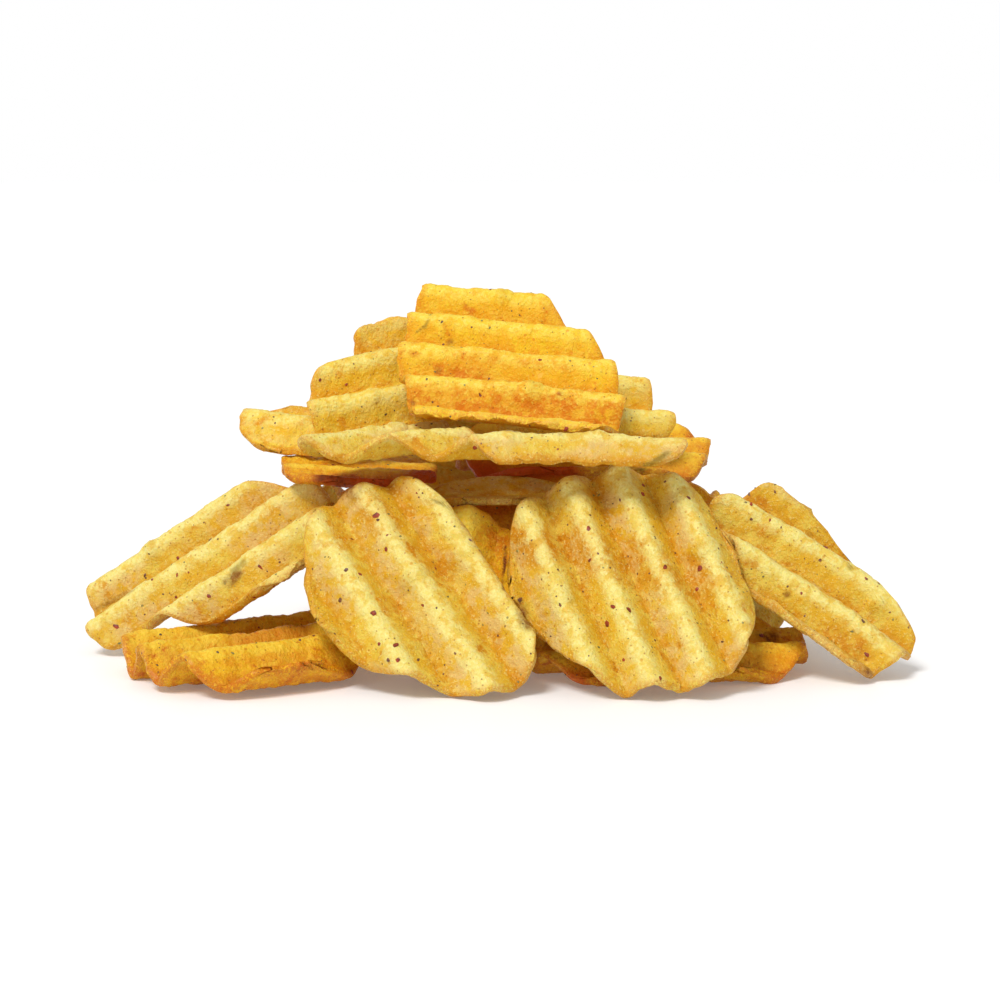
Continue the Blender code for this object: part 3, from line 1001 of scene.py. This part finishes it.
seasoning = {}
for name, (colour, count, width, seed) in FLAKES.items():
    values = {"Per square metre": count, "Flake size": width, "Flatness": FLATNESS, "Seed": seed,
              "Finish": flake_finish(name, colour)}
    mesh = through_tree(name, all_slices(), flake_tree, values)
    piece = bpy.data.objects.new(name, mesh)
    bpy.context.scene.collection.objects.link(piece)
    seasoning[name] = piece
    print(name, len(mesh.polygons), "faces")

# %% [markdown]
# ## The flakes that the photograph shows
#
# The biggest flakes can be told apart in the picture, so each has its own pixel. A flake is a
# small ball of twenty faces, pressed flat along the slice's normal and pushed out of shape.

# %% Flakes at their own places
LARGE_FLAKES = {
    # pixels, and how wide the flake is in millimetres
    "chilli_flakes": [
        (228, 505, 1.0), (178, 558, 0.9), (177, 575, 0.8), (176, 597, 0.8), (260, 567, 1.2),
        (274, 586, 1.0), (360, 574, 1.3), (373, 613, 1.4), (396, 645, 1.3), (398, 660, 1.4),
        (700, 568, 1.4), (665, 567, 1.2), (697, 589, 1.0), (613, 607, 1.1), (643, 485, 1.2),
        (590, 560, 0.9), (770, 520, 0.8), (480, 395, 1.0), (540, 360, 0.8), (320, 380, 0.8),
    ],
    "dark_specks": [
        (499, 695, 1.3), (346, 570, 0.9), (388, 660, 1.0), (863, 621, 1.0), (751, 519, 0.9),
        (749, 494, 0.9), (378, 520, 0.9), (340, 600, 1.0), (418, 660, 0.8), (470, 540, 0.8),
        (560, 605, 0.8), (655, 640, 0.8), (590, 515, 0.8), (620, 500, 0.7), (520, 600, 1.4),
        (455, 700, 0.9), (300, 640, 0.8), (210, 540, 0.8), (145, 575, 0.9), (820, 560, 0.8),
    ],
}


def large_flakes(name, places, draw):
    """Adds these flakes to the piece of that kind."""
    work = bmesh.new()
    work.from_mesh(seasoning[name].data)
    work.faces.ensure_lookup_table()
    finish_slot = work.faces[0].material_index
    for x, y, width in places:
        seen = seen_at(x, y)
        if seen is None:
            continue
        piece = slices[seen[0]]
        hit, spot, normal, _ = piece.ray_cast(camera.location, ray_through(x, y))
        if not hit:
            continue
        flat = Matrix.Diagonal((draw.uniform(0.8, 1.3), draw.uniform(0.5, 0.9), 0.3, 1.0))
        turn = normal.to_track_quat("Z", "Y").to_matrix().to_4x4()
        spin = Matrix.Rotation(draw.uniform(0, math.tau), 4, "Z")
        place = Matrix.Translation(spot) @ turn @ spin @ flat
        ball = bmesh.ops.create_icosphere(work, subdivisions=1, radius=width / 2 * MM, matrix=place)
        for vertex in ball["verts"]:
            vertex.co += Vector(draw.uniform(-0.08, 0.08, 3)) * width * MM
    for face in work.faces:
        face.material_index = finish_slot
    work.to_mesh(seasoning[name].data)
    work.free()


for seed, (name, places) in enumerate(LARGE_FLAKES.items()):
    large_flakes(name, places, np.random.default_rng(seed))
print("large flakes:", {name: len(places) for name, places in LARGE_FLAKES.items()})

# %% [markdown]
# ## The table
#
# The photograph has a white table and a white background, lit softly. A wide floor with a slight
# glow of its own stays as white as that under the heap's light.

# %% Floor
FLOOR_SIZE = 6.0


def plain_finish(name, colour, roughness, glow):
    material = bpy.data.materials.new(name)
    material.use_nodes = True
    finish = material.node_tree.nodes["Principled BSDF"]
    finish.inputs["Base Color"].default_value = (*colour, 1.0)
    finish.inputs["Roughness"].default_value = roughness
    finish.inputs["Emission Color"].default_value = (*colour, 1.0)
    finish.inputs["Emission Strength"].default_value = glow
    return material


bpy.ops.mesh.primitive_plane_add(size=FLOOR_SIZE)
floor = bpy.context.object
floor.name = "floor"
floor.data.materials.append(plain_finish("white_table", (0.93, 0.93, 0.93), 0.45, 0.13))
print("floor:", FLOOR_SIZE, "m wide")

# %% [markdown]
# ## Light from the room and the window
#
# The white surroundings fill the shadows. One wide light, high on the left in front, gives the
# ridges their shape: it leaves the walls that face right a little darker.

# %% Room light
# What the room gives to surfaces. The camera itself sees plain white.
ROOM_LIGHT = 0.53
world = bpy.data.worlds.new("studio")
world.use_nodes = True
room = Bench(world.node_tree)
backdrop = world.node_tree.nodes["Background"]
backdrop.inputs["Color"].default_value = (1.0, 1.0, 1.0, 1.0)
to_camera = room.make("ShaderNodeLightPath", {}, {}, out="Is Camera Ray")
room.plug(backdrop.inputs["Strength"], to_camera.math("MAXIMUM", ROOM_LIGHT))
bpy.context.scene.world = world


# %% Window light
def sunlight(name, towards, softness, strength):
    """Even light on the whole table. The softness is the light's width in degrees."""
    light = bpy.data.lights.new(name, "SUN")
    light.angle = math.radians(softness)
    light.energy = strength
    holder = bpy.data.objects.new(name, light)
    holder.rotation_euler = Vector(towards).to_track_quat("Z", "Y").to_euler()
    bpy.context.scene.collection.objects.link(holder)


sunlight("window", (-0.28, -0.46, 0.82), 20, 2.2)

# %% [markdown]
# ## The slices in place of the solids
#
# Each fine slice takes the place of its plain solid, which is hidden. The seasoning rides along on
# the heap.

# %% Ride and finish
for name, piece in slices.items():
    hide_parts(name + "_crisp")
    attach(piece, "root")
    SLICES[name]["tone"] + "_crisp"

for piece in seasoning.values():
    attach(piece, "root")
